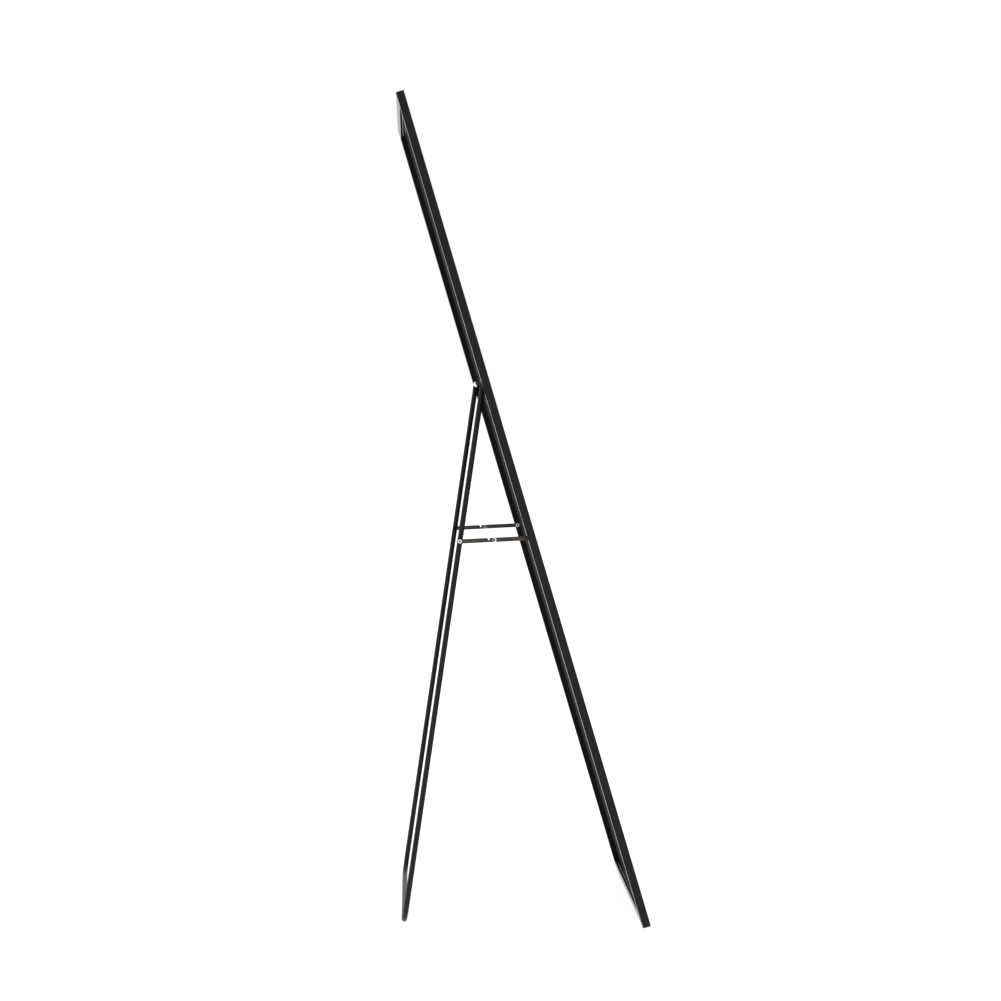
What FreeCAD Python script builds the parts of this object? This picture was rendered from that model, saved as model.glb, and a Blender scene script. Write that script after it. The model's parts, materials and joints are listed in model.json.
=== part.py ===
"""Folding floor sign stand: a leaning sign frame with a fold-out tube leg and two jointed side braces.

Row frame: millimetres, +Z up, the sign faces -Y. The origin is on the floor, in the middle of the footprint.
Three local frames are used, all turned about X only:
  frame   z runs up the stiles, y = 0 is the back of the frame, y = -depth its front
  leg     z runs up the leg tubes, the origin is on the hinge axis
  link    z runs along a brace link, the origin is on its own end pivot
"""
import FreeCAD, Part
import math
import operator
import os

import Sketcher
from FreeCAD import Placement, Rotation, Vector

SIZES = {
    # sign frame
    "frame_height": 1600.0,
    "frame_width": 600.0,
    "bar_width": 22.0,
    "bar_wall": 1.4,
    "lip_width": 4.0,
    "lip_thickness": 1.2,
    "rib_thickness": 1.0,
    "groove_width": 1.4,
    "groove_depth": 0.6,
    "edge_round": 0.8,
    # sign layers held between the lip and the rib
    "board_thickness": 1.3,
    "card_thickness": 0.4,
    "cover_thickness": 0.8,
    "layer_edge_gap": 0.5,
    "layer_face_gap": 0.1,
    # corner joints
    "key_width": 14.0,
    "key_thickness": 3.0,
    "key_length": 70.0,
    "key_gap": 0.05,
    "screw_radius": 1.5,
    "screw_head_radius": 2.8,
    "screw_head_height": 0.9,
    "screw_drive_width": 0.7,
    "screw_drive_depth": 0.6,
    "screw_inset": 45.0,
    # stance
    "lean_angle": 16.5,
    "spread_angle": 24.8,
    "hinge_height": 1050.0,
    # leg
    "leg_diameter": 10.0,
    "leg_wall": 1.0,
    "bend_radius": 40.0,
    "eye_drop": 10.0,
    "plug_length": 22.0,
    # hinge hardware
    "bolt_radius": 2.5,
    "bolt_overhang": 0.6,
    "bolt_head_height": 2.4,
    "bolt_slot_width": 1.3,
    "bolt_slot_depth": 1.2,
    "bolt_slot_angle": 33.0,
    "insert_radius": 3.5,
    "insert_flange_radius": 4.6,
    "insert_flange": 0.8,
    "insert_length": 10.0,
    "spacer_radius": 4.6,
    # braces
    "front_pivot_drop": 303.0,
    "rear_pivot_drop": 300.0,
    "link_width": 8.0,
    "link_thickness": 2.0,
    "link_gap": 0.2,
    "link_tail": 7.5,
    "notch_start": 8.5,
    "notch_length": 4.0,
    "notch_depth": 4.2,
    "notch_slant": 2.0,
    "washer_thickness": 1.9,
    "washer_radius": 4.2,
    "rivet_radius": 2.0,
    "rivet_head_radius": 3.6,
    "rivet_head_height": 1.0,
    "rivet_eye_radius": 1.2,
    "rivet_eye_depth": 1.6,
    "rivet_tail_radius": 3.2,
    "rivet_tail_height": 1.4,
    "knuckle_radius": 3.9,
    "knuckle_height": 1.3,
    # clearances
    "pin_gap": 0.05,
    "run_gap": 0.1,
}


OPERATORS = {"+": operator.add, "-": operator.sub, "*": operator.mul, "/": operator.truediv}


class Dim:
    """A size that keeps both its value and the spreadsheet expression it comes from."""

    def __init__(self, text, value):
        self.text = text
        self.value = value

    def join(self, other, sign, flipped=False):
        other = other if isinstance(other, Dim) else Dim(repr(float(other)), float(other))
        first, second = (other, self) if flipped else (self, other)
        value = OPERATORS[sign](first.value, second.value)
        return Dim("(%s %s %s)" % (first.text, sign, second.text), value)

    def __add__(self, other):
        return self.join(other, "+")

    def __radd__(self, other):
        return self.join(other, "+", True)

    def __sub__(self, other):
        return self.join(other, "-")

    def __rsub__(self, other):
        return self.join(other, "-", True)

    def __mul__(self, other):
        return self.join(other, "*")

    def __rmul__(self, other):
        return self.join(other, "*", True)

    def __truediv__(self, other):
        return self.join(other, "/")

    def __neg__(self):
        return self.join(-1.0, "*")


def angle_cos(dim):
    return Dim("cos(%s * 1 deg)" % dim.text, math.cos(math.radians(dim.value)))


def angle_sin(dim):
    return Dim("sin(%s * 1 deg)" % dim.text, math.sin(math.radians(dim.value)))


def root(dim):
    return Dim("sqrt(%s)" % dim.text, math.sqrt(dim.value))


class Named:
    """The spreadsheet's sizes as attributes."""


ZERO = Dim("0", 0.0)
doc = FreeCAD.newDocument("sign_stand")
sheet = doc.addObject("Spreadsheet::Sheet", "Sizes")
d = Named()
for row, (alias, number) in enumerate(SIZES.items(), start=1):
    sheet.set("A%d" % row, alias)
    sheet.set("B%d" % row, repr(number))
    sheet.setAlias("B%d" % row, alias)
    setattr(d, alias, Dim("Sizes." + alias, number))
doc.recompute()

# Sizes that follow from the driving ones.
bar_full = d.bar_width + d.lip_width
slot_width = d.board_thickness + d.card_thickness + d.cover_thickness + 3 * d.layer_face_gap
leg_radius = d.leg_diameter / 2
recess = d.leg_diameter
frame_depth = recess + d.rib_thickness + slot_width + d.lip_thickness
pivot_depth = leg_radius
leg_angle = d.spread_angle - d.lean_angle
hinge_z = d.hinge_height * angle_cos(d.lean_angle) + pivot_depth * angle_sin(d.lean_angle)
leg_length = (hinge_z - leg_radius) / angle_cos(leg_angle)
pivot_span = root(d.front_pivot_drop * d.front_pivot_drop + d.rear_pivot_drop * d.rear_pivot_drop
                  - 2 * d.front_pivot_drop * d.rear_pivot_drop * angle_cos(d.spread_angle))
front_link_length = (pivot_span + d.front_pivot_drop - d.rear_pivot_drop) / 2
rear_link_length = (pivot_span - d.front_pivot_drop + d.rear_pivot_drop) / 2
link_radius = d.link_width / 2
hole_radius = d.rivet_radius + d.pin_gap

# Places across the stand, measured inwards from the outer side of a stile.
front_link_start = d.bar_width + d.washer_thickness + d.run_gap
front_link_end = front_link_start + d.link_thickness
rear_link_start = front_link_end + d.link_gap
rear_link_end = rear_link_start + d.link_thickness
rear_washer_start = rear_link_end + d.run_gap
leg_start = rear_washer_start + d.washer_thickness
leg_end = leg_start + d.leg_diameter
leg_reach = d.frame_width / 2 - leg_start - leg_radius

parts = {}


def keep(name, thing):
    """Give an object its node name and list it for export."""
    thing.Label = name
    parts[name] = thing
    return thing


def new_body(name):
    return keep(name, doc.addObject("PartDesign::Body", name))


def origin_plane(body, role):
    return [feature for feature in body.Origin.OriginFeatures if feature.Role == role][0]


def attach(feature, body, role, shift=None):
    """Put a feature on one of its body's own planes, moved along that plane's axes."""
    feature.AttachmentSupport = [(origin_plane(body, role), "")]
    feature.MapMode = "FlatFace"
    for axis, dim in zip("xyz", shift or ()):
        feature.setExpression("AttachmentOffset.Base.%s" % axis, dim.text)


def fix_point(sketch, geometry, end, corner):
    """Tie one sketch point to the sketch origin by two expressions."""
    for dim, kind, axis in zip(corner, ("DistanceX", "DistanceY"), (-2, -1)):
        if abs(dim.value) < 1e-9:
            sketch.addConstraint(Sketcher.Constraint("PointOnObject", geometry, end, axis))
            continue
        ends = (-1, 1, geometry, end) if dim.value > 0 else (geometry, end, -1, 1)
        index = sketch.addConstraint(Sketcher.Constraint(kind, *ends, abs(dim.value)))
        text = dim.text if dim.value > 0 else "-1 * %s" % dim.text
        sketch.setExpression("Constraints[%d]" % index, text)


def add_edge(sketch, first, last, bend):
    """Add a line, or an arc with a radius that turns left (+) or right (-). Returns index, start, end."""
    a = Vector(first[0].value, first[1].value, 0)
    b = Vector(last[0].value, last[1].value, 0)
    if bend is None:
        return sketch.addGeometry(Part.LineSegment(a, b)), 1, 2
    radius, way = bend
    half = (b - a) * 0.5
    side = Vector(-half.y, half.x, 0).normalize() * way
    centre = a + half + side * math.sqrt(radius.value ** 2 - half.Length ** 2)
    start, end = (a, b) if way > 0 else (b, a)
    angles = [math.atan2(point.y - centre.y, point.x - centre.x) for point in (start, end)]
    circle = Part.Circle(centre, Vector(0, 0, 1), radius.value)
    index = sketch.addGeometry(Part.ArcOfCircle(circle, angles[0], angles[1]))
    datum = sketch.addConstraint(Sketcher.Constraint("Radius", index, radius.value))
    sketch.setExpression("Constraints[%d]" % datum, radius.text)
    return (index, 1, 2) if way > 0 else (index, 2, 1)


def outline(body, name, role, loops, shift=None, closed=True):
    """Draw loops of corners. A corner is (x, y), or (x, y, (radius, turn)) when an arc arrives at it."""
    sketch = body.newObject("Sketcher::SketchObject", name)
    attach(sketch, body, role, shift)
    for corners in loops:
        steps = range(len(corners)) if closed else range(1, len(corners))
        edges = []
        for step in steps:
            corner = corners[step]
            bend = corner[2] if len(corner) > 2 else None
            edges.append(add_edge(sketch, corners[step - 1], corner, bend) + (corner,))
        meetings = list(zip(edges, edges[1:]))
        if closed:
            meetings.append((edges[-1], edges[0]))
        for before, after in meetings:
            ends = (before[0], before[2], after[0], after[1])
            sketch.addConstraint(Sketcher.Constraint("Coincident", *ends))
        if not closed:
            fix_point(sketch, edges[0][0], edges[0][1], corners[0])
        for index, start, end, corner in edges:
            fix_point(sketch, index, end, corner)
    return sketch


def pad(body, sketch, length, reverse=False):
    feature = body.newObject("PartDesign::Pad", "Pad")
    feature.Profile = sketch
    feature.setExpression("Length", length.text)
    feature.Reversed = reverse
    return feature


def cut_through(body, sketch):
    feature = body.newObject("PartDesign::Pocket", "Pocket")
    feature.Profile = sketch
    feature.SideType = "Symmetric"
    feature.Type = "ThroughAll"
    return feature


def turn(body, corners):
    """Revolve an outline of (radius, height) corners about the body's own Z axis."""
    sketch = outline(body, "section", "XZ_Plane", [corners])
    feature = body.newObject("PartDesign::Revolution", "Revolution")
    feature.Profile = sketch
    feature.ReferenceAxis = (sketch, ["V_Axis"])
    feature.Angle = 360.0
    return feature


def cylinder(body, kind, role, shift, radius, height):
    """Add (kind Additive) or cut (kind Subtractive) a cylinder that stands on one of the body's planes."""
    feature = body.newObject("PartDesign::%sCylinder" % kind, kind + "Cylinder")
    attach(feature, body, role, shift)
    feature.setExpression("Radius", radius.text)
    feature.setExpression("Height", height.text)
    return feature


def block(body, kind, role, shift, sizes):
    feature = body.newObject("PartDesign::%sBox" % kind, kind + "Box")
    attach(feature, body, role, shift)
    for side, dim in zip(("Length", "Width", "Height"), sizes):
        feature.setExpression(side, dim.text)
    return feature


# Where each local frame stands in the row frame.
lean = Rotation(Vector(1, 0, 0), -d.lean_angle.value)
leg_turn = Rotation(Vector(1, 0, 0), leg_angle.value)
top_back = d.frame_height.value * math.sin(math.radians(d.lean_angle.value))
bottom_front = -frame_depth.value * math.cos(math.radians(d.lean_angle.value))
frame_base = Vector(0, -(top_back + bottom_front) / 2, 0)
frame_place = Placement(frame_base, lean)


def in_frame(x, y, z):
    return frame_place.multVec(Vector(x, y, z))


hinge_point = in_frame(0, -pivot_depth.value, d.hinge_height.value)
front_point = in_frame(0, -pivot_depth.value, d.hinge_height.value - d.front_pivot_drop.value)
leg_place = Placement(hinge_point, leg_turn)
rear_point = leg_place.multVec(Vector(0, 0, -d.rear_pivot_drop.value))
half_width = d.frame_width / 2
SIDES = {"left": -1, "right": 1}


def aim(start, end):
    """Turn about X that lays local Z along the way from start to end."""
    way = end - start
    return Rotation(Vector(1, 0, 0), math.degrees(math.atan2(-way.y, way.z)))


def across(side, point):
    """Place for a turned part: its Z axis runs inwards from the outer side of one stile through a pivot."""
    base = Vector(SIDES[side] * half_width.value, point.y, point.z)
    return Placement(base, Rotation(Vector(0, 1, 0), -90 * SIDES[side]))


def corner_place(quarter):
    """The four frame corners in turn. X and Z of each point along the two bars that meet there."""
    x = (-1, -1, 1, 1)[quarter] * half_width.value
    z = (0, 1, 1, 0)[quarter] * d.frame_height.value
    return frame_place * Placement(Vector(x, 0, z), Rotation(Vector(0, 1, 0), 90 * quarter))


# ---------------------------------------------------------------- sign frame
screw_hole = d.screw_radius + d.pin_gap
screw_seat = d.screw_head_radius + d.pin_gap
insert_hole = d.insert_radius + d.pin_gap
bolt_hole = d.bolt_radius + d.pin_gap


def frame_bar(name, length, quarter, holes):
    """A mitred length of hollow bar. Its inner side has a drill groove, a rib and the front lip."""
    body = new_body(name)
    wall, w, full, depth = d.bar_wall, d.bar_width, bar_full, frame_depth
    bend = (d.edge_round, 1)
    groove = [
        (w, -(pivot_depth - d.groove_width / 2)),
        (w - d.groove_depth, -pivot_depth),
        (w, -(pivot_depth + d.groove_width / 2)),
    ]
    outer = [
        (ZERO, -(depth - d.edge_round)),
        (d.edge_round, -depth, bend),
        (full - d.edge_round, -depth),
        (full, -(depth - d.edge_round), bend),
        (full, -(depth - d.lip_thickness)),
        (w, -(depth - d.lip_thickness)),
        (w, -(recess + d.rib_thickness)),
        (full, -(recess + d.rib_thickness)),
        (full, -recess),
        (w, -recess),
        *reversed(groove),
        (w, -d.edge_round),
        (w - d.edge_round, ZERO, bend),
        (d.edge_round, ZERO),
        (ZERO, -d.edge_round, bend),
    ]
    inner = [
        (wall, -wall),
        (wall, -(depth - wall)),
        (w - wall, -(depth - wall)),
        (w - wall, -wall),
    ]
    pad(body, outline(body, "section", "XY_Plane", [outer, inner]), length)
    over = d.edge_round + 1
    reach = full + over
    mitres = [
        [(-over, -over), (reach, -over), (reach, reach)],
        [(-over, length + over), (reach, length + over), (reach, length - reach)],
    ]
    cut_through(body, outline(body, "mitres", "XZ_Plane", mitres))
    for height in (d.screw_inset, length - d.screw_inset):
        place = (w / 2, height, ZERO)
        cylinder(body, "Subtractive", "XZ_Plane", place, screw_hole, 2 * wall)
        cylinder(body, "Subtractive", "XZ_Plane", place, screw_seat, d.screw_head_height)
    for height, radius in holes:
        place = (-pivot_depth, height, w - 2 * wall)
        cylinder(body, "Subtractive", "YZ_Plane", place, radius, 3 * wall)
    body.Placement = corner_place(quarter)


front_pivot_height = d.hinge_height - d.front_pivot_drop
left_holes = [(d.hinge_height, insert_hole), (front_pivot_height, hole_radius)]
right_holes = [(d.frame_height - height, radius) for height, radius in left_holes]
frame_bar("stile_left", d.frame_height, 0, left_holes)
frame_bar("rail_top", d.frame_width, 1, [])
frame_bar("stile_right", d.frame_height, 2, right_holes)
frame_bar("rail_bottom", d.frame_width, 3, [])


def corner_key(name, quarter):
    """An L-shaped plate inside the two hollow bars of a corner, tapped for one screw in each."""
    body = new_body(name)
    edge = (d.bar_width - d.key_width) / 2
    inner = edge + d.key_width
    corners = [
        (edge, edge),
        (d.key_length, edge),
        (d.key_length, inner),
        (inner, inner),
        (inner, d.key_length),
        (edge, d.key_length),
    ]
    back = d.bar_wall + d.key_gap
    pad(body, outline(body, "plate", "XZ_Plane", [corners], (ZERO, ZERO, back)), d.key_thickness)
    middle = d.bar_width / 2
    for x, z in ((middle, d.screw_inset), (d.screw_inset, middle)):
        cylinder(body, "Subtractive", "XZ_Plane", (x, z, ZERO), screw_hole, back + 2 * d.key_thickness)
    body.Placement = corner_place(quarter)


for quarter, corner in enumerate(("bottom_left", "top_left", "top_right", "bottom_right")):
    corner_key("corner_key_" + corner, quarter)


def corner_screw(place):
    """A flush screw with a cross drive. Its head lies in the back of a bar, its tip in the corner key."""
    body = doc.addObject("PartDesign::Body", "corner_screw")
    tip = -(d.bar_wall + d.key_gap + d.key_thickness)
    turn(body, [
        (ZERO, ZERO),
        (ZERO, tip),
        (d.screw_radius, tip),
        (d.screw_radius, -d.screw_head_height),
        (d.screw_head_radius, -d.screw_head_height),
        (d.screw_head_radius, ZERO),
    ])
    arm = d.screw_drive_width
    depth = d.screw_drive_depth
    for length, width in ((4 * arm, arm), (arm, 4 * arm)):
        block(body, "Subtractive", "XY_Plane", (-length / 2, -width / 2, -depth), (length, width, 2 * depth))
    body.Placement = place * Placement(Vector(), Rotation(Vector(1, 0, 0), -90))
    return body


screws = []
bar_middle = d.bar_width.value / 2
along_bar = d.screw_inset.value
for quarter in range(4):
    for x, z in ((bar_middle, along_bar), (along_bar, bar_middle)):
        screws.append(corner_screw(corner_place(quarter) * Placement(Vector(x, 0, z), Rotation())))
screw_set = keep("corner_screws", doc.addObject("Part::Compound", "corner_screws"))
screw_set.Links = screws


# ---------------------------------------------------------------- sign layers
def layer(name, back, thickness):
    """A flat sheet held round its edge in the slots of the four bars."""
    sheet_part = keep(name, doc.addObject("Part::Box", name))
    margin = d.bar_width + d.layer_edge_gap
    sheet_part.setExpression("Length", (d.frame_width - 2 * margin).text)
    sheet_part.setExpression("Width", thickness.text)
    sheet_part.setExpression("Height", (d.frame_height - 2 * margin).text)
    corner = Vector(margin.value - half_width.value, -(back + thickness).value, margin.value)
    sheet_part.Placement = frame_place * Placement(corner, Rotation())


board_back = recess + d.rib_thickness + d.layer_face_gap
layer("back_board", board_back, d.board_thickness)
card_back = board_back + d.board_thickness
layer("sign_card", card_back, d.card_thickness)
layer("clear_cover", card_back + d.card_thickness + d.layer_face_gap, d.cover_thickness)

# ---------------------------------------------------------------- leg
leg = new_body("leg_frame")
bend_x = leg_reach - d.bend_radius
bend_z = -(leg_length - d.bend_radius)
route = outline(leg, "route", "XZ_Plane", [[
    (-leg_reach, -d.eye_drop),
    (-leg_reach, bend_z),
    (-bend_x, -leg_length, (d.bend_radius, 1)),
    (bend_x, -leg_length),
    (leg_reach, bend_z, (d.bend_radius, 1)),
    (leg_reach, -d.eye_drop),
]], closed=False)
ring = leg.newObject("Sketcher::SketchObject", "ring")
attach(ring, leg, "XY_Plane", (-leg_reach, ZERO, -d.eye_drop))
for radius in (leg_radius, leg_radius - d.leg_wall):
    circle = ring.addGeometry(Part.Circle(Vector(), Vector(0, 0, 1), radius.value))
    ring.addConstraint(Sketcher.Constraint("Coincident", circle, 3, -1, 1))
    datum = ring.addConstraint(Sketcher.Constraint("Radius", circle, radius.value))
    ring.setExpression("Constraints[%d]" % datum, radius.text)
tube = leg.newObject("PartDesign::AdditivePipe", "Tube")
tube.Profile = ring
tube.Spine = (route, ["Edge%d" % number for number in range(1, 6)])
cylinder(leg, "Subtractive", "YZ_Plane", (ZERO, -d.rear_pivot_drop, -half_width), hole_radius, d.frame_width)
leg.Placement = leg_place


def leg_eye(name, side):
    """The solid hinge end of a leg tube: a plug in the tube and a round-ended eye on the hinge bolt."""
    body = new_body(name)
    side_face = -leg_radius
    width = d.leg_diameter
    cylinder(body, "Additive", "YZ_Plane", (ZERO, ZERO, side_face), leg_radius, width)
    block(body, "Additive", "XY_Plane", (side_face, side_face, -d.eye_drop), (width, width, d.eye_drop))
    plug_radius = leg_radius - d.leg_wall - d.pin_gap
    plug_end = -(d.eye_drop + d.plug_length)
    cylinder(body, "Additive", "XY_Plane", (ZERO, ZERO, plug_end), plug_radius, d.plug_length + 1)
    cylinder(body, "Subtractive", "YZ_Plane", (ZERO, ZERO, 2 * side_face), bolt_hole, 2 * width)
    body.Placement = leg_place * Placement(Vector(SIDES[side] * leg_reach.value, 0, 0), Rotation())


# ---------------------------------------------------------------- hinge hardware
def hinge_hardware(side):
    """Threaded insert in the stile, spacer tube, and the slotted bolt that the leg's eye turns on."""
    bore = bolt_hole
    flange = d.bar_width + d.insert_flange
    tip = d.bar_width - d.insert_length
    insert = new_body("hinge_insert_" + side)
    turn(insert, [
        (bore, tip),
        (d.insert_radius, tip),
        (d.insert_radius, d.bar_width),
        (d.insert_flange_radius, d.bar_width),
        (d.insert_flange_radius, flange),
        (bore, flange),
    ])
    spacer = new_body("hinge_spacer_" + side)
    spacer_end = leg_start - d.run_gap
    turn(spacer, [
        (bore, flange),
        (d.spacer_radius, flange),
        (d.spacer_radius, spacer_end),
        (bore, spacer_end),
    ])
    bolt = new_body("hinge_bolt_" + side)
    under = leg_end + d.run_gap
    head_radius = leg_radius + d.bolt_overhang
    rim = under + d.bolt_head_height / 3
    top = under + d.bolt_head_height
    dome = (head_radius * head_radius + (top - rim) * (top - rim)) / (2 * (top - rim))
    turn(bolt, [
        (ZERO, top, (dome, 1)),
        (ZERO, tip + 1),
        (d.bolt_radius, tip + 1),
        (d.bolt_radius, under),
        (head_radius, under),
        (head_radius, rim),
    ])
    length = 2 * head_radius
    shift = (-length / 2, -d.bolt_slot_width / 2, top - d.bolt_slot_depth)
    block(bolt, "Subtractive", "XY_Plane", shift, (length, d.bolt_slot_width, 2 * d.bolt_slot_depth))
    bolt_place = across(side, hinge_point)
    for body in (insert, spacer):
        body.Placement = bolt_place
    tightened = Rotation(Vector(0, 0, 1), d.bolt_slot_angle.value)
    bolt.Placement = bolt_place * Placement(Vector(), tightened)


# ---------------------------------------------------------------- braces
def rounded_end(z, way):
    """Corners of a half-round link end in two quarter arcs, centred at height z and facing way."""
    bend = (link_radius, 1)
    return [(-way * link_radius, z), (ZERO, z - way * link_radius, bend), (way * link_radius, z, bend)]


def link_plate(name, side, corners, start, base, target):
    """A flat brace link. start is where its outer face lies across the stand."""
    body = new_body(name)
    pad(body, outline(body, "plate", "YZ_Plane", [corners]), d.link_thickness, SIDES[side] > 0)
    origin = Vector(SIDES[side] * (half_width - start).value, base.y, base.z)
    body.Placement = Placement(origin, aim(base, target))
    return body


def pierce(body, side, z, radius, low, high):
    """Cut a round hole across a link between two distances from its outer face."""
    start = low if SIDES[side] < 0 else -high
    cylinder(body, "Subtractive", "YZ_Plane", (ZERO, z, start), radius, high - low)


def brace(side):
    """Front and rear links with their pivots. The knuckle is two half rivets, one on each link."""
    r, corner = link_radius, d.edge_round
    end = front_link_length + d.link_tail
    front_corners = rounded_end(ZERO, 1) + [
        (r, end - corner),
        (r - corner, end, (corner, 1)),
        (-r + corner, end),
        (-r, end - corner, (corner, 1)),
    ]
    front = link_plate("front_link_" + side, side, front_corners, front_link_start, front_point, rear_point)
    notch_end = rear_link_length - d.notch_start
    notch_low = notch_end - d.notch_length
    floor = r - d.notch_depth
    rear_corners = rounded_end(ZERO, 1) + [
        (r, notch_low),
        (floor, notch_low + d.notch_slant),
        (floor, notch_end),
        (r, notch_end),
    ] + rounded_end(rear_link_length, -1)
    rear = link_plate("rear_link_" + side, side, rear_corners, rear_link_start, rear_point, front_point)
    over, thick = d.link_thickness, d.link_thickness
    seat_radius = d.rivet_head_radius + d.pin_gap
    seat_depth = d.rivet_head_height + d.pin_gap
    for link, length in ((front, front_link_length), (rear, rear_link_length)):
        for z in (ZERO, length):
            pierce(link, side, z, hole_radius, -over, thick + over)
    pierce(front, side, ZERO, seat_radius, thick - seat_depth, thick + over)
    pierce(rear, side, ZERO, seat_radius, -over, seat_depth)

    knuckle_point = front_point + (rear_point - front_point).normalize() * front_link_length.value
    pivot_parts = {
        "front_washer_": (front_point, washer(d.bar_width)),
        "rear_washer_": (rear_point, washer(rear_washer_start)),
        "front_rivet_": (front_point, flush_rivet(front_link_end, d.bar_width - d.bar_wall, -1)),
        "rear_rivet_": (rear_point, flush_rivet(rear_link_start, leg_end, 1)),
        "knuckle_head_": (knuckle_point, half_rivet(front_link_end, front_link_start, -1)),
        "knuckle_tail_": (knuckle_point, half_rivet(rear_link_start, rear_link_end, 1)),
    }
    for name, (point, corners) in pivot_parts.items():
        body = new_body(name + side)
        turn(body, corners)
        body.Placement = across(side, point)


def washer(start):
    end = start + d.washer_thickness
    return [(hole_radius, start), (d.washer_radius, start), (d.washer_radius, end), (hole_radius, end)]


def flush_rivet(face, grip, way):
    """A hollow-ended rivet: its head is let into a link at face, its tail is spread beyond grip."""
    head = face + way * d.rivet_head_height
    eye = face + way * d.rivet_eye_depth
    tail = grip + way * d.rivet_tail_height
    return [
        (d.rivet_eye_radius, face),
        (d.rivet_eye_radius, eye),
        (ZERO, eye),
        (ZERO, tail),
        (d.rivet_tail_radius, tail),
        (d.rivet_tail_radius, grip),
        (d.rivet_radius, grip),
        (d.rivet_radius, head),
        (d.rivet_head_radius, head),
        (d.rivet_head_radius, face),
    ]


def half_rivet(inner, outer, way):
    """Half of the knuckle rivet: a shank through one link and a domed head on its free face."""
    top = outer + way * d.knuckle_height
    edge = outer + way * d.knuckle_height / 3
    floor = outer + way * d.knuckle_height / 4
    return [
        (ZERO, floor),
        (ZERO, inner),
        (d.rivet_radius, inner),
        (d.rivet_radius, outer),
        (d.knuckle_radius, outer),
        (d.knuckle_radius, edge),
        (d.rivet_eye_radius, top, (d.knuckle_radius * 1.8, way)),
        (d.rivet_eye_radius, floor),
    ]


for side in SIDES:
    leg_eye("leg_eye_" + side, side)
    hinge_hardware(side)
    brace(side)

# ---------------------------------------------------------------- check and export
doc.recompute()
for thing in doc.Objects:
    if "Invalid" in thing.State or "Error" in thing.State:
        raise RuntimeError("%s failed: %s" % (thing.Label, thing.State))
os.makedirs("parts", exist_ok=True)
for name, thing in parts.items():
    shape = thing.Shape
    if shape.isNull() or not shape.isValid() or shape.Volume <= 0:
        raise RuntimeError("%s has no valid solid" % name)
    shape.exportStep(os.path.join("parts", name + ".step"))
    print("%-26s %2d solid %10.1f mm3" % (name, len(shape.Solids), shape.Volume))
for label, size in (("leg", leg_length), ("front link", front_link_length), ("rear link", rear_link_length)):
    print("%-10s %8.2f mm" % (label, size.value))
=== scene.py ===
"""Looks of the folding floor sign stand, built round its fixed frame. Metres, +Z up, the sign faces -Y."""

import json
import math

import bmesh
import bpy
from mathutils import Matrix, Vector


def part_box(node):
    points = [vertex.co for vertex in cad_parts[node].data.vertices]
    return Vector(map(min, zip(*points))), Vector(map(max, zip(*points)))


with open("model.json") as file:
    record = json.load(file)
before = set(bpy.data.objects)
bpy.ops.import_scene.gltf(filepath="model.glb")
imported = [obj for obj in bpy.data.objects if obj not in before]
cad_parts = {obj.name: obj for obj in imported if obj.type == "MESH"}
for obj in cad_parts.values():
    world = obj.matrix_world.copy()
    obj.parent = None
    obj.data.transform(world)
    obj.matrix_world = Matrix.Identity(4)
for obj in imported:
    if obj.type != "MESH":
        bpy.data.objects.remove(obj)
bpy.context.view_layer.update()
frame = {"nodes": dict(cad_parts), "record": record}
NODES = frame["nodes"]

# How the sign frame stands. It leans back from the line where its back edge meets the floor.
LEAN = math.radians(16.5)
FRAME_LENGTH = 1.6
FRAME_DEPTH = 0.015
STILE_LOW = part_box("stile_left")[0]
HALF_WIDTH = -STILE_LOW.x
BACK_EDGE_Y = STILE_LOW.y + FRAME_DEPTH * math.cos(LEAN)


def axis_of(name):
    """Y and Z of the line across the stand that a round node is turned on."""
    low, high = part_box(name)
    return (low.y + high.y) / 2, (low.z + high.z) / 2


# Both sides of the stand share these lines. LEG_INNER_SIDE and SLOT_FLOOR are distances from the stand's
# middle, the radius and the reaches are from a rivet's or bolt's centre, and the heights are from the floor.
HINGE = axis_of("hinge_bolt_left")
KNUCKLE = axis_of("knuckle_head_left")
RIVETS = [axis_of("front_rivet_left"), axis_of("rear_rivet_left"), KNUCKLE]
LEG_INNER_SIDE = 0.2605
SLOT_FLOOR = 0.25845
SLOT_REACH = 0.0044
EYE_RADIUS = 0.0017
KNUCKLE_REACH = 0.005
SCUFF_HEIGHT = 0.002
RUB_HEIGHT = 0.0008


# ------------------------------------------------------------------ shader maths
# A Mix node's colour sockets go by number, because its numbers and vectors share their names.
MIX_SHARE, MIX_FIRST, MIX_SECOND, MIX_RESULT = 0, 6, 7, 2


class Wire:
    """An output of a finish's nodes. Arithmetic on it adds the Math nodes."""

    def __init__(self, finish, socket):
        self.finish = finish
        self.socket = socket

    def calc(self, operation, *values):
        """The result of one Math node on these values."""
        return self.finish.node("ShaderNodeMath", {"operation": operation}, values)["Value"]

    def __add__(self, other):
        return self.calc("ADD", self, other)

    __radd__ = __add__

    def __sub__(self, other):
        return self.calc("SUBTRACT", self, other)

    def __rsub__(self, other):
        return self.calc("SUBTRACT", other, self)

    def __mul__(self, other):
        return self.calc("MULTIPLY", self, other)

    __rmul__ = __mul__

    def __pow__(self, power):
        return self.calc("POWER", self, power)

    def __abs__(self):
        return self.calc("ABSOLUTE", self)

    def below(self, edge, soft):
        """1 where the value is under edge, fading to 0 over soft."""
        return self.finish.fade(self, edge + soft, edge)

    def above(self, edge, soft):
        """1 where the value is over edge, fading to 0 over soft."""
        return self.finish.fade(self, edge - soft, edge)


class Outputs:
    """A node's outputs by name."""

    def __init__(self, finish, node):
        self.finish = finish
        self.node = node

    def __getitem__(self, name):
        return Wire(self.finish, self.node.outputs[name])


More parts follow.
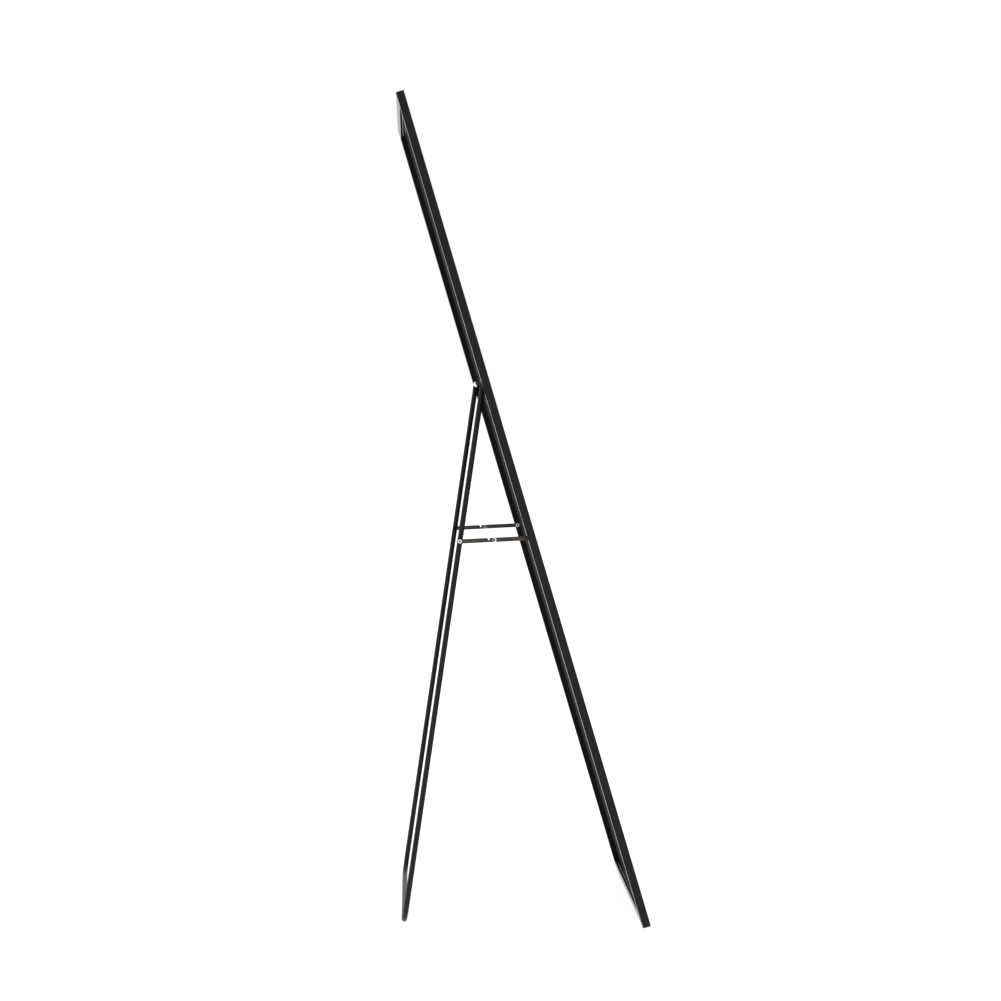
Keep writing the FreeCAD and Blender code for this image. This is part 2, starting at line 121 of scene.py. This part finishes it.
class Finish:
    """A node material with one Principled shader. Constants go on the shader's own sockets."""

    def __init__(self, name, **constants):
        self.material = bpy.data.materials.new(name)
        self.material.use_nodes = True
        self.tree = self.material.node_tree
        self.shader = self.tree.nodes["Principled BSDF"]
        for socket, value in constants.items():
            self.shader.inputs[socket.replace("_", " ")].default_value = value

    def node(self, kind, settings=None, inputs=()):
        """Any node: its type, its settings, which are set first, then its sockets' values or wires."""
        node = self.tree.nodes.new(kind)
        for key, value in (settings or {}).items():
            setattr(node, key, value)
        pairs = inputs.items() if isinstance(inputs, dict) else enumerate(inputs)
        for key, value in pairs:
            if isinstance(value, Wire):
                self.tree.links.new(value.socket, node.inputs[key])
            else:
                node.inputs[key].default_value = value
        return Outputs(self, node)

    def feed(self, **wires):
        """Links wires to the shader's own sockets."""
        for socket, wire in wires.items():
            self.tree.links.new(wire.socket, self.shader.inputs[socket.replace("_", " ")])
        return self

    def place(self):
        """The point on the piece, in metres of the row frame at rest."""
        return self.node("ShaderNodeTexCoord")["Object"]

    def turned(self, vector, turn=(0, 0, 0), shift=(0, 0, 0), stretch=(1, 1, 1)):
        """The vector stretched, then turned, then shifted."""
        sockets = {"Vector": vector, "Location": shift, "Rotation": turn, "Scale": stretch}
        return self.node("ShaderNodeMapping", {"vector_type": "POINT"}, sockets)["Vector"]

    def axes(self, vector):
        """The three numbers of a vector."""
        parts = self.node("ShaderNodeSeparateXYZ", None, {"Vector": vector})
        return parts["X"], parts["Y"], parts["Z"]

    def noise(self, vector, size, detail=2.0, rough=0.5):
        """Noise from 0 to 1 whose blobs are about size metres across."""
        sockets = {"Vector": vector, "Scale": 1 / size, "Detail": detail, "Roughness": rough}
        return self.node("ShaderNodeTexNoise", {"noise_dimensions": "3D"}, sockets)["Fac"]

    def cells(self, vector, size):
        """Distance to the nearest of many points that are about size metres apart."""
        sockets = {"Vector": vector, "Scale": 1 / size}
        return self.node("ShaderNodeTexVoronoi", {"feature": "F1"}, sockets)["Distance"]

    def fade(self, value, low, high):
        """0 at low, 1 at high, smooth between them."""
        settings = {"interpolation_type": "SMOOTHSTEP", "clamp": True}
        sockets = {"Value": value, "From Min": low, "From Max": high}
        return self.node("ShaderNodeMapRange", settings, sockets)["Result"]

    def tint(self, share, first, second):
        """A colour between first and second. Either may be a wire."""
        colours = [c if isinstance(c, Wire) else (*c, 1) for c in (first, second)]
        sockets = {MIX_SHARE: share, MIX_FIRST: colours[0], MIX_SECOND: colours[1]}
        return self.node("ShaderNodeMix", {"data_type": "RGBA"}, sockets)[MIX_RESULT]

    def lowest(self, *values):
        """The least of several wires."""
        least = values[0]
        for value in values[1:]:
            least = least.calc("MINIMUM", least, value)
        return least

    def off_axis(self, point, centre):
        """How far a point is from a line across the stand, in metres."""
        flat = self.turned(point, stretch=(0, 1, 1))
        line = (0, *centre)
        return self.node("ShaderNodeVectorMath", {"operation": "DISTANCE"}, (flat, line))["Value"]

    def relief(self, height, depth, under=None):
        """A bump of that depth in metres, on top of another one."""
        sockets = {"Height": height, "Distance": depth, "Strength": 1.0}
        if under is not None:
            sockets["Normal"] = under
        return self.node("ShaderNodeBump", None, sockets)["Normal"]


# ------------------------------------------------------------------ finishes
CHARCOAL = (0.0058, 0.0059, 0.0070)
WORN_COAT = (0.075, 0.076, 0.080)
SEAM_DARK = (0.002, 0.002, 0.002)
# Painted shade for the eyes of the rivets.
PAINTED_EYE_SHADE = (0.012, 0.012, 0.012)
# Painted shade for the bottom of the bolt's slot.
PAINTED_SLOT_SHADE = (0.010, 0.010, 0.010)
# Darker grey painted on the half of each knuckle towards the leg.
KNUCKLE_HALF_GREY = (0.16, 0.16, 0.16)
HEAT_BROWN = (0.105, 0.072, 0.046)
HEAT_GREEN = (0.070, 0.077, 0.048)


def powder_coat(name, roughness, gloss):
    """The satin coat's own grain: slow colour drift, fine grit and orange peel."""
    coat = Finish(name, IOR=1.5, Specular_IOR_Level=gloss)
    point = coat.place()
    drift = coat.noise(point, size=0.11, detail=3)
    grit = coat.noise(point, size=0.0011, detail=2)
    peel = coat.noise(point, size=0.0022, detail=1)
    deep_tone, pale_tone = ([channel * share for channel in CHARCOAL] for share in (0.84, 1.18))
    base = coat.tint(drift * 0.5 + grit * 0.5, deep_tone, pale_tone)
    rough = roughness + (drift - 0.5) * 0.08 + (grit - 0.5) * 0.10
    normal = coat.relief(peel, depth=0.000006, under=coat.relief(grit, depth=0.000002))
    return coat, point, base, rough, normal


def frame_finish():
    """Coated frame section: mitre seams, faint draw lines, rubbed arrises, scuffs at the floor."""
    coat, point, base, rough, normal = powder_coat("frame_satin_charcoal", roughness=0.20, gloss=0.16)
    local = coat.turned(point, turn=(LEAN, 0, 0))
    x, y, z = coat.axes(local)
    along = z - BACK_EDGE_Y * math.sin(LEAN)
    deep = BACK_EDGE_Y * math.cos(LEAN) - y
    from_end = coat.lowest(along, FRAME_LENGTH - along)
    from_side = HALF_WIDTH - abs(x)
    from_face = coat.lowest(deep, FRAME_DEPTH - deep)
    seam = abs(from_end - from_side).below(0.00008, soft=0.00012)
    arris = (coat.lowest(from_end, from_side) + from_face).below(0.00015, soft=0.0004)
    rubbed = coat.noise(point, size=0.007, detail=3, rough=0.6).above(0.60, soft=0.10) * arris
    streaks = coat.noise(coat.turned(local, stretch=(1, 1, 0.01)), size=0.0016, detail=2)
    patches = coat.noise(point, size=0.004, detail=4, rough=0.7).above(0.62, soft=0.05)
    scuffed = patches * along.below(SCUFF_HEIGHT, soft=0.010)
    base = coat.tint(scuffed * 0.7 + rubbed * 0.35, base, WORN_COAT)
    base = coat.tint(seam * 0.85, base, SEAM_DARK)
    rough = rough + scuffed * 0.18 + (streaks - 0.5) * 0.06
    normal = coat.relief(streaks, depth=0.000004, under=normal)
    normal = coat.relief(1 - seam, depth=0.00012, under=normal)
    coat.feed(Base_Color=base, Roughness=rough, Normal=normal)
    return coat.material


def leg_finish():
    """Coated steel tube, duller than the frame, worn where the crossbar rubs the floor."""
    coat, point, base, rough, normal = powder_coat("leg_satin_charcoal", roughness=0.40, gloss=0.20)
    height = coat.axes(point)[2]
    patches = coat.noise(point, size=0.005, detail=4, rough=0.7).above(0.55, soft=0.08)
    rubbed = patches * height.below(RUB_HEIGHT, soft=0.0016)
    base = coat.tint(rubbed * 0.8, base, WORN_COAT)
    coat.feed(Base_Color=base, Roughness=rough + rubbed * 0.2, Normal=normal)
    return coat.material


def board_finish():
    """Rigid dark backing sheet with a pebbled skin and faint rolling streaks."""
    sheet = Finish("backing_sheet", IOR=1.48, Specular_IOR_Level=0.02)
    point = sheet.place()
    pebble = sheet.cells(point, size=0.0012)
    drift = sheet.noise(point, size=0.25, detail=3)
    upright = sheet.turned(point, turn=(LEAN, 0, 0))
    streaks = sheet.noise(sheet.turned(upright, stretch=(1, 1, 0.02)), size=0.010, detail=3)
    base = sheet.tint(drift * 0.6 + streaks * 0.4, (0.0165, 0.0167, 0.0174), (0.0265, 0.0267, 0.0278))
    rough = 0.80 + streaks * 0.12 + pebble * 0.06
    sheet.feed(Base_Color=base, Roughness=rough, Normal=sheet.relief(pebble, depth=0.00004))
    return sheet.material


def card_finish():
    """Plain heavy card, off-white, with a soft tooth and long fibres."""
    card = Finish("sign_card_stock", IOR=1.45, Specular_IOR_Level=0.3)
    point = card.place()
    fibre = card.noise(card.turned(point, stretch=(1, 1, 0.25)), size=0.0022, detail=4, rough=0.6)
    drift = card.noise(point, size=0.3, detail=2)
    base = card.tint(fibre * 0.5 + drift * 0.5, (0.50, 0.493, 0.470), (0.58, 0.573, 0.550))
    card.feed(Base_Color=base, Roughness=0.78 + fibre * 0.1, Normal=card.relief(fibre, depth=0.00003))
    return card.material


def cover_finish():
    """Clear anti-glare sheet: see-through, with a soft satin reflection that grows at a low angle."""
    cover = Finish("clear_cover_sheet", IOR=1.49, Base_Color=(0.9, 0.92, 0.93, 1))
    point = cover.place()
    haze = cover.noise(point, size=0.0008, detail=2)
    smear = cover.noise(point, size=0.12, detail=3)
    rough = 0.10 + haze * 0.05 + smear * 0.05
    cover.feed(Roughness=rough, Normal=cover.relief(haze, depth=0.000003))
    edge_on = cover.node("ShaderNodeLayerWeight", None, {"Blend": 0.5})["Facing"]
    shine = edge_on ** 5 * 0.55 + 0.04
    clear = cover.node("ShaderNodeBsdfTransparent")["BSDF"]
    satin = Outputs(cover, cover.shader)["BSDF"]
    surface = cover.node("ShaderNodeMixShader", None, (shine, clear, satin))["Shader"]
    output = cover.tree.nodes["Material Output"]
    cover.tree.links.new(surface.socket, output.inputs["Surface"])
    return cover.material


def plain_steel(name, dark, light, roughness, grain=(1, 1, 1)):
    """Bare or plated steel. grain stretches its fine scratches."""
    steel = Finish(name, Metallic=1.0)
    point = steel.place()
    scratch = steel.noise(steel.turned(point, stretch=grain), size=0.0006, detail=3, rough=0.6)
    cloud = steel.noise(point, size=0.006, detail=3)
    base = steel.tint(scratch * 0.5 + cloud * 0.5, dark, light)
    rough = roughness + (scratch - 0.5) * 0.16 + (cloud - 0.5) * 0.10
    steel.feed(Roughness=rough, Normal=steel.relief(scratch, depth=0.000010))
    return steel, point, base


def steel_finish(name, dark, light, roughness):
    """Steel or zinc plating with nothing else on it."""
    steel, _, base = plain_steel(name, dark, light, roughness)
    return steel.feed(Base_Color=base).material


def link_finish():
    """Dark oiled strip with a faint brown or green heat tint that comes and goes."""
    dark, light = (0.028, 0.028, 0.030), (0.066, 0.066, 0.068)
    steel, point, base = plain_steel("dark_strip", dark, light, roughness=0.36, grain=(1, 0.08, 1))
    for size, edge, colour in ((0.021, 0.58, HEAT_BROWN), (0.034, 0.60, HEAT_GREEN)):
        clouds = steel.noise(steel.turned(point, shift=(size, size, 0)), size=size, detail=1)
        base = steel.tint(clouds.above(edge, soft=0.14) * 0.5, base, colour)
    return steel.feed(Base_Color=base).material


def rivet_finish():
    """Bright rivets, each with painted shade darkening its eye. The half of each knuckle towards the leg is
    painted a darker grey, and the tails in the legs went through the coat with them."""
    steel, point, base = plain_steel("bright_rivet", (0.76, 0.75, 0.73), (0.94, 0.93, 0.91), roughness=0.42)
    x, y, _ = steel.axes(point)
    on_knuckle = steel.off_axis(point, KNUCKLE).below(KNUCKLE_REACH, soft=0.0005)
    towards_leg = y.above(KNUCKLE[0] + 0.0010, soft=0.0026)
    # The half of each knuckle towards the leg is painted a darker grey.
    base = steel.tint(on_knuckle * towards_leg * 0.85, base, KNUCKLE_HALF_GREY)
    from_centre = steel.lowest(*[steel.off_axis(point, rivet) for rivet in RIVETS])
    # Painted shade: each rivet's eye is darkened nearly to black, in place of the shade inside its hollow.
    eye_shade = from_centre.below(EYE_RADIUS, soft=0.0002)
    base = steel.tint(eye_shade * 0.96, base, PAINTED_EYE_SHADE)
    coated = abs(x).below(LEG_INNER_SIDE, soft=0.0002)
    return steel.feed(Base_Color=steel.tint(coated, base, CHARCOAL)).material


def bolt_finish():
    """Bright bolt with painted shade darkening the bottom of its slot."""
    steel, point, base = plain_steel("bright_bolt", (0.82, 0.82, 0.81), (0.96, 0.96, 0.95), roughness=0.20)
    sunk = abs(steel.axes(point)[0]).above(SLOT_FLOOR, soft=0.0001)
    on_head = steel.off_axis(point, HINGE).below(SLOT_REACH, soft=0.0003)
    # Painted shade: the floor of the slot is darkened nearly to black.
    return steel.feed(Base_Color=steel.tint(sunk * on_head * 0.97, base, PAINTED_SLOT_SHADE)).material


def washer_finish():
    """Black nylon with a faint moulded skin."""
    nylon = Finish("black_nylon", IOR=1.53)
    point = nylon.place()
    skin = nylon.noise(point, size=0.0004, detail=2)
    base = nylon.tint(skin, (0.010, 0.010, 0.011), (0.022, 0.022, 0.023))
    nylon.feed(Base_Color=base, Roughness=0.42 + skin * 0.12, Normal=nylon.relief(skin, depth=0.00001))
    return nylon.material


def floor_finish():
    """Opal floor with a very faint mottle, lit from below like a light table, so shadows stay faint."""
    glow = {"Emission_Color": (1, 1, 1, 1), "Emission_Strength": 0.85}
    floor = Finish("studio_floor", Specular_IOR_Level=0.0, Roughness=0.9, **glow)
    mottle = floor.noise(floor.place(), size=0.6, detail=3)
    floor.feed(Base_Color=floor.tint(mottle, (0.30, 0.30, 0.30), (0.32, 0.32, 0.32)))
    return floor.material


FINISHES = {
    "frame_coat": frame_finish(),
    "leg_coat": leg_finish(),
    "back_board": board_finish(),
    "sign_card": card_finish(),
    "clear_cover": cover_finish(),
    "key_zinc": steel_finish("plated_key", (0.40, 0.41, 0.42), (0.55, 0.56, 0.57), 0.38),
    "screw_steel": steel_finish("dark_screw", (0.10, 0.10, 0.105), (0.18, 0.18, 0.185), 0.36),
    "bolt_steel": bolt_finish(),
    "insert_zinc": steel_finish("plated_insert", (0.45, 0.46, 0.47), (0.62, 0.62, 0.62), 0.34),
    "link_steel": link_finish(),
    "washer_plastic": washer_finish(),
    "rivet_steel": rivet_finish(),
}


def dress_nodes():
    """Puts each CAD node's finish on all of its slots."""
    slots = {part["node"]: part["material_slot"] for part in frame["record"]["subparts"]}
    for name, obj in NODES.items():
        finish = FINISHES[slots[name]]
        if not obj.data.materials:
            obj.data.materials.append(finish)
        for index in range(len(obj.data.materials)):
            obj.data.materials[index] = finish


# ------------------------------------------------------------------ studio
FLOOR_RADIUS = 400.0
FLOOR_SIDES = 96
ROOM_GLOW = 1.0
LAMP_POWER = 0.7
LAMP_SPREAD = math.radians(120)
LAMP_AIM = Vector((0.15, 0.10, -1.0))


def add_floor():
    """A flat disc so wide that its edge is never seen."""
    mesh = bpy.data.meshes.new("studio_floor")
    shape = bmesh.new()
    bmesh.ops.create_circle(shape, cap_ends=True, segments=FLOOR_SIDES, radius=FLOOR_RADIUS)
    shape.to_mesh(mesh)
    shape.free()
    floor = bpy.data.objects.new("studio_floor", mesh)
    bpy.context.scene.collection.objects.link(floor)
    mesh.materials.append(floor_finish())


def add_room():
    """An even white glow from all round, like a light tent."""
    world = bpy.data.worlds.new("studio_room")
    bpy.context.scene.world = world
    world.use_nodes = True
    glow = world.node_tree.nodes["Background"]
    glow.inputs["Color"].default_value = (1, 1, 1, 1)
    glow.inputs["Strength"].default_value = ROOM_GLOW


def add_overhead_light():
    """A very wide soft lamp overhead, leaning a little to the camera's side and the sign's front."""
    lamp = bpy.data.lights.new("overhead_soft", "SUN")
    lamp.energy = LAMP_POWER
    lamp.angle = LAMP_SPREAD
    obj = bpy.data.objects.new("overhead_soft", lamp)
    obj.rotation_euler = LAMP_AIM.to_track_quat("-Z", "Y").to_euler()
    bpy.context.scene.collection.objects.link(obj)


# ------------------------------------------------------------------ camera
LENS = 90.11
SENSOR_WIDTH = 36.0
SHIFT_ACROSS = 0.0437
SHIFT_UP = -0.0436
NEAREST = 0.1
CAMERA_AWAY = 4.5874
CAMERA_BEHIND = 0.4249
CAMERA_HEIGHT = 0.9430
TURN_TO_SIGN = math.radians(1.024)
LOOK_DOWN = math.radians(0.939)


def add_camera():
    """Side-on view of the stand, square to its width, from a little behind and over half way up."""
    data = bpy.data.cameras.new("side_camera")
    data.lens = LENS
    data.sensor_width = SENSOR_WIDTH
    data.shift_x, data.shift_y = SHIFT_ACROSS, SHIFT_UP
    data.clip_start, data.clip_end = NEAREST, 2 * FLOOR_RADIUS
    camera = bpy.data.objects.new("side_camera", data)
    camera.location = (-HALF_WIDTH - CAMERA_AWAY, BACK_EDGE_Y + CAMERA_BEHIND, CAMERA_HEIGHT)
    level = Vector((math.cos(TURN_TO_SIGN), -math.sin(TURN_TO_SIGN), 0))
    aim = level * math.cos(LOOK_DOWN) - Vector((0, 0, math.sin(LOOK_DOWN)))
    camera.rotation_mode = "QUATERNION"
    camera.rotation_quaternion = aim.to_track_quat("-Z", "Y")
    bpy.context.scene.collection.objects.link(camera)
    bpy.context.scene.camera = camera


dress_nodes()
add_floor()
add_room()
add_overhead_light()
add_camera()
bpy.context.scene.view_settings.view_transform = "Standard"
